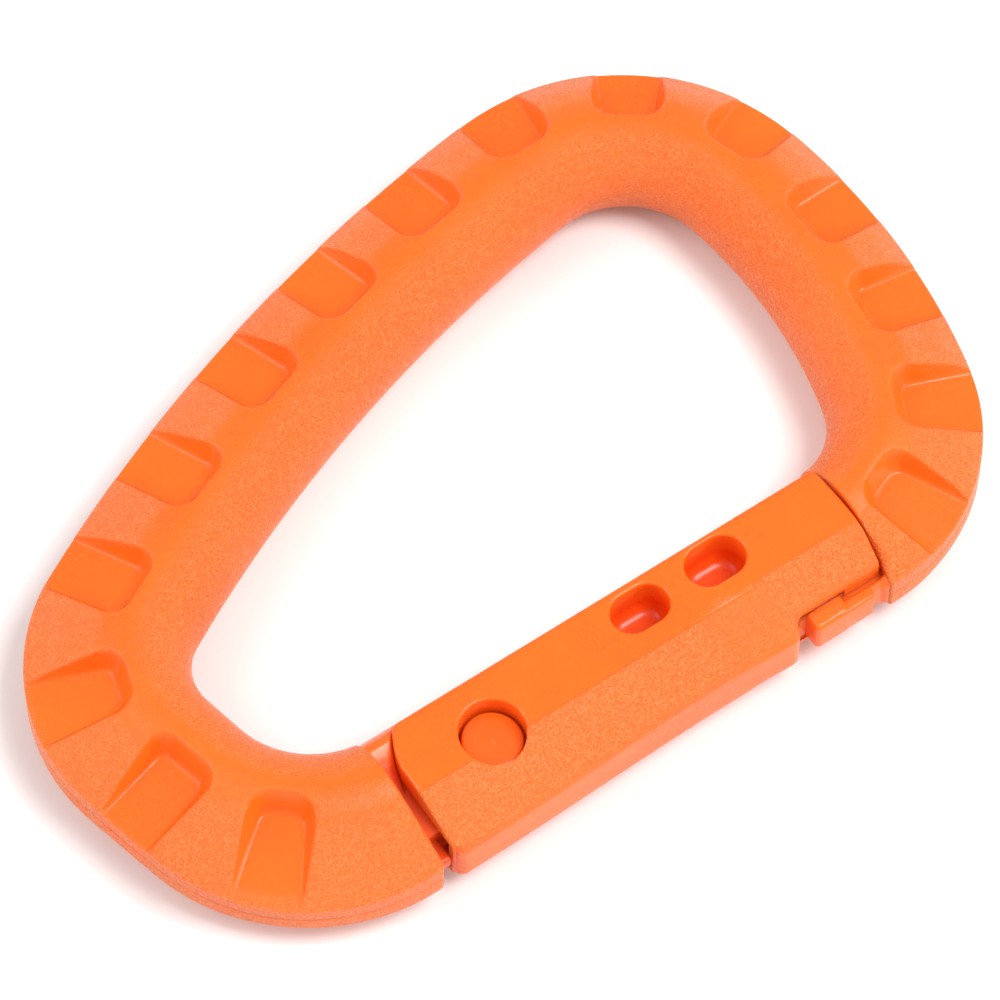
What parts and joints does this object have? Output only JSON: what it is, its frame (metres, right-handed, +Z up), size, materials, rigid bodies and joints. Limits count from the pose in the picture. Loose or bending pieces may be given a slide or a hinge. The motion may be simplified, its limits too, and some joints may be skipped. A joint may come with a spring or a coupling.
{
  "type": "snap carabiner",
  "caption": "Asymmetric D snap carabiner in moulded plastic with a sprung inward-opening gate and grip pockets around its outer edge.",
  "frame": {"origin": "middle of the bounding box on the underside, with the carabiner lying flat", "axes": "+X along the gate from hinge to nose, +Y from gate to spine, +Z up through the thickness"},
  "size_m": [0.085, 0.057, 0.0098],
  "materials": {
    "ring_plastic": "satin orange moulded plastic, fine spark-eroded grain on the outer land",
    "gate_plastic": "satin orange moulded plastic, smooth cheeks with grained facets",
    "spring_steel": "plain rolled spring strip"
  },
  "bodies": {
    "frame": {"frame": "ring_plastic"},
    "gate": {"gate": "gate_plastic", "gate_spring": "spring_steel"}
  },
  "joints": [
    {"name": "gate_hinge", "type": "hinge", "parent": "frame", "child": "gate", "pos_m": [-0.01217, -0.02153, 0.0049], "axis": [0, 0, 1], "range_deg": [0, 25], "stiffness_Nm_per_rad": 0.05, "springref_deg": -28.65, "deforming": ["gate_spring"]}
  ]
}
